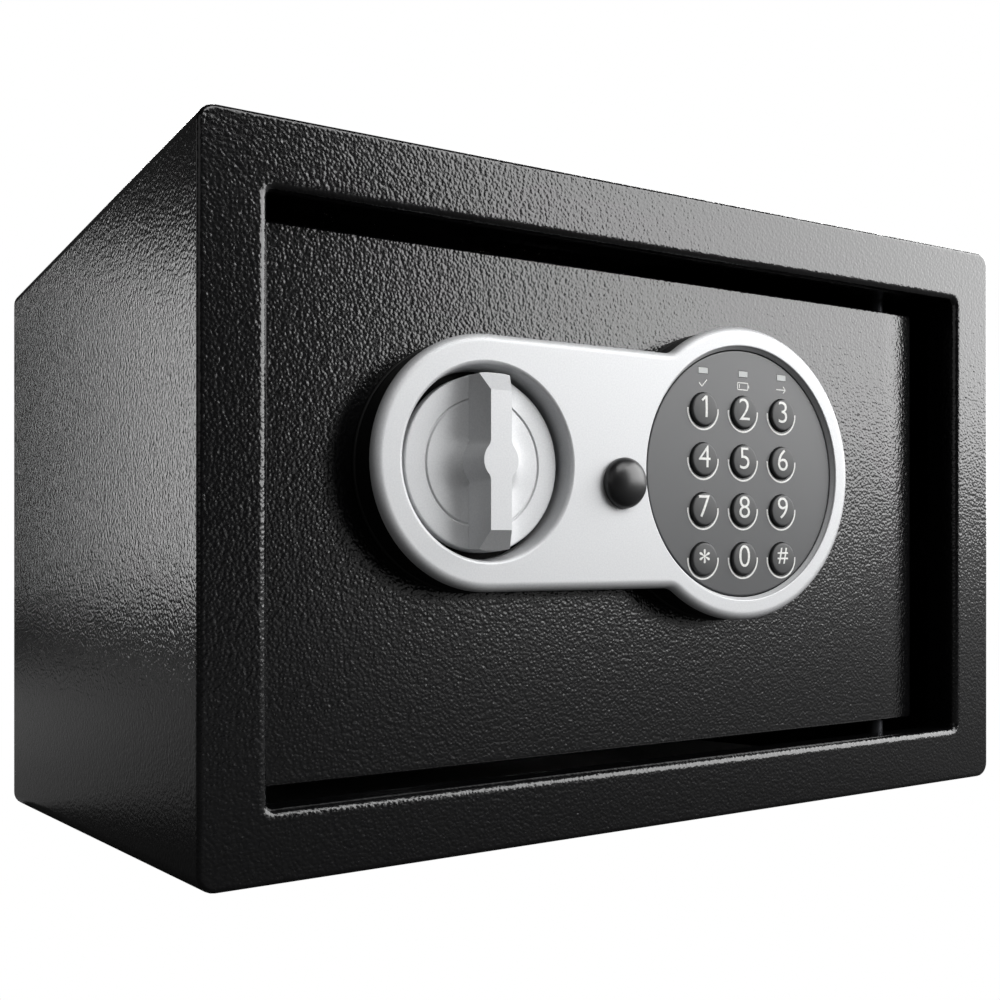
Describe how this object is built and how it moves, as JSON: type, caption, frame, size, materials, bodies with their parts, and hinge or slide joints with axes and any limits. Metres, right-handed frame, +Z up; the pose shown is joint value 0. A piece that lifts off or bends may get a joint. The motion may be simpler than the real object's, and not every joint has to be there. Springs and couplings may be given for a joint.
{
  "type": "in-room safe",
  "caption": "Small steel in-room safe: recessed hinged door, turning knob driving sliding bolts, digit keypad and a plug over the override lock.",
  "frame": {"origin": "centre of the cabinet's base, on the surface it stands on", "axes": "+Z up, the door faces -Y, +X to the right seen from the front (the hinge side)"},
  "size_m": [0.31, 0.2235, 0.2],
  "materials": {
    "powder_coat": "black textured powder coat, satin",
    "silver_plastic": "silver painted ABS, satin",
    "black_plastic": "black moulded plastic, fine grain",
    "grey_panel": "dark grey moulded panel, satin",
    "key_rubber": "black silicone rubber, polished dome",
    "light_guide": "clear moulded light guide",
    "circuit_board": "green solder mask",
    "zinc_steel": "bright zinc plate",
    "bolt_chrome": "turned and chromed steel",
    "copper_winding": "enamelled copper wire",
    "lock_brass": "machined brass",
    "wire_sleeve": "black sleeve",
    "battery_jacket": "printed film over steel can",
    "red_plastic": "glossy red moulding",
    "black_felt": "needle-punched felt"
  },
  "bodies": {
    "cabinet": {"cabinet_wrap": "powder_coat", "front_frame": "powder_coat", "back_panel": "powder_coat", "floor_mat": "black_felt", "hinge_bracket_lower": "powder_coat", "hinge_bracket_upper": "powder_coat"},
    "door": {"door_plate": "powder_coat", "hinge_pin_lower": "zinc_steel", "hinge_pin_upper": "zinc_steel", "inner_cover": "powder_coat", "cover_screw_1": "zinc_steel", "cover_screw_2": "zinc_steel", "cover_screw_3": "zinc_steel", "cover_screw_4": "zinc_steel", "trim_base": "black_plastic", "trim": "silver_plastic", "keypad_panel": "grey_panel", "light_guide": "light_guide", "keypad_board": "circuit_board", "bolt_guide_lower": "zinc_steel", "bolt_guide_upper": "zinc_steel", "guide_stud_left": "zinc_steel", "guide_stud_right": "zinc_steel", "lock_plate": "zinc_steel", "solenoid_frame": "zinc_steel", "solenoid_coil": "copper_winding", "plunger_spring": "zinc_steel", "wire_harness": "wire_sleeve", "lock_housing": "zinc_steel", "battery_box": "black_plastic", "battery_1": "battery_jacket", "battery_2": "battery_jacket", "battery_3": "battery_jacket", "battery_4": "battery_jacket", "reset_switch": "black_plastic"},
    "knob_turn": {"knob": "silver_plastic", "knob_shaft": "zinc_steel", "knob_crank": "zinc_steel", "shaft_clip": "zinc_steel"},
    "bolt_work": {"bolt_carriage": "zinc_steel", "bolt_lower": "bolt_chrome", "bolt_upper": "bolt_chrome"},
    "plunger": {"solenoid_plunger": "zinc_steel"},
    "key_cover_plug": {"key_cover": "key_rubber"},
    "lock_core": {"lock_barrel": "lock_brass", "lock_cam": "zinc_steel"},
    "battery_hatch": {"battery_lid": "black_plastic"},
    "reset_cap": {"reset_button": "red_plastic"},
    "key_cap_1": {"key_1": "key_rubber"},
    "key_cap_2": {"key_2": "key_rubber"},
    "key_cap_3": {"key_3": "key_rubber"},
    "key_cap_4": {"key_4": "key_rubber"},
    "key_cap_5": {"key_5": "key_rubber"},
    "key_cap_6": {"key_6": "key_rubber"},
    "key_cap_7": {"key_7": "key_rubber"},
    "key_cap_8": {"key_8": "key_rubber"},
    "key_cap_9": {"key_9": "key_rubber"},
    "key_cap_star": {"key_star": "key_rubber"},
    "key_cap_0": {"key_0": "key_rubber"},
    "key_cap_hash": {"key_hash": "key_rubber"}
  },
  "joints": [
    {"name": "door_hinge", "type": "hinge", "parent": "cabinet", "child": "door", "pos_m": [0.112, -0.0895, 0.1], "axis": [0, 0, 1], "range_deg": [0, 95]},
    {"name": "knob_rotation", "type": "hinge", "parent": "door", "child": "knob_turn", "pos_m": [-0.0705, -0.1075, 0.1117], "axis": [0, -1, 0], "range_deg": [0, 90]},
    {"name": "bolt_slide", "type": "slide", "parent": "door", "child": "bolt_work", "axis": [-1, 0, 0], "range_m": [0, 0.01202]},
    {"name": "plunger_slide", "type": "slide", "parent": "door", "child": "plunger", "axis": [0, 0, 1], "range_m": [0, 0.005], "deforming": ["plunger_spring"]},
    {"name": "key_cover_pull", "type": "slide", "parent": "door", "child": "key_cover_plug", "axis": [0, -1, 0], "range_m": [0, 0.012]},
    {"name": "lock_turn", "type": "hinge", "parent": "door", "child": "lock_core", "pos_m": [-0.0232, -0.1075, 0.107], "axis": [0, -1, 0], "range_deg": [0, 90]},
    {"name": "battery_lid_pull", "type": "slide", "parent": "door", "child": "battery_hatch", "axis": [0, 1, 0], "range_m": [0, 0.015]},
    {"name": "reset_press", "type": "slide", "parent": "door", "child": "reset_cap", "axis": [0, -1, 0], "range_m": [0, 0.0012], "stiffness_N_per_m": 1200},
    {"name": "press_1", "type": "slide", "parent": "door", "child": "key_cap_1", "axis": [0, 1, 0], "range_m": [0, 0.0008], "stiffness_N_per_m": 1400},
    {"name": "press_2", "type": "slide", "parent": "door", "child": "key_cap_2", "axis": [0, 1, 0], "range_m": [0, 0.0008], "stiffness_N_per_m": 1400},
    {"name": "press_3", "type": "slide", "parent": "door", "child": "key_cap_3", "axis": [0, 1, 0], "range_m": [0, 0.0008], "stiffness_N_per_m": 1400},
    {"name": "press_4", "type": "slide", "parent": "door", "child": "key_cap_4", "axis": [0, 1, 0], "range_m": [0, 0.0008], "stiffness_N_per_m": 1400},
    {"name": "press_5", "type": "slide", "parent": "door", "child": "key_cap_5", "axis": [0, 1, 0], "range_m": [0, 0.0008], "stiffness_N_per_m": 1400},
    {"name": "press_6", "type": "slide", "parent": "door", "child": "key_cap_6", "axis": [0, 1, 0], "range_m": [0, 0.0008], "stiffness_N_per_m": 1400},
    {"name": "press_7", "type": "slide", "parent": "door", "child": "key_cap_7", "axis": [0, 1, 0], "range_m": [0, 0.0008], "stiffness_N_per_m": 1400},
    {"name": "press_8", "type": "slide", "parent": "door", "child": "key_cap_8", "axis": [0, 1, 0], "range_m": [0, 0.0008], "stiffness_N_per_m": 1400},
    {"name": "press_9", "type": "slide", "parent": "door", "child": "key_cap_9", "axis": [0, 1, 0], "range_m": [0, 0.0008], "stiffness_N_per_m": 1400},
    {"name": "press_star", "type": "slide", "parent": "door", "child": "key_cap_star", "axis": [0, 1, 0], "range_m": [0, 0.0008], "stiffness_N_per_m": 1400},
    {"name": "press_0", "type": "slide", "parent": "door", "child": "key_cap_0", "axis": [0, 1, 0], "range_m": [0, 0.0008], "stiffness_N_per_m": 1400},
    {"name": "press_hash", "type": "slide", "parent": "door", "child": "key_cap_hash", "axis": [0, 1, 0], "range_m": [0, 0.0008], "stiffness_N_per_m": 1400}
  ],
  "couplings": [
    {"joint": "knob_rotation", "follows": "bolt_slide", "rad_per_m": 130.67}
  ]
}
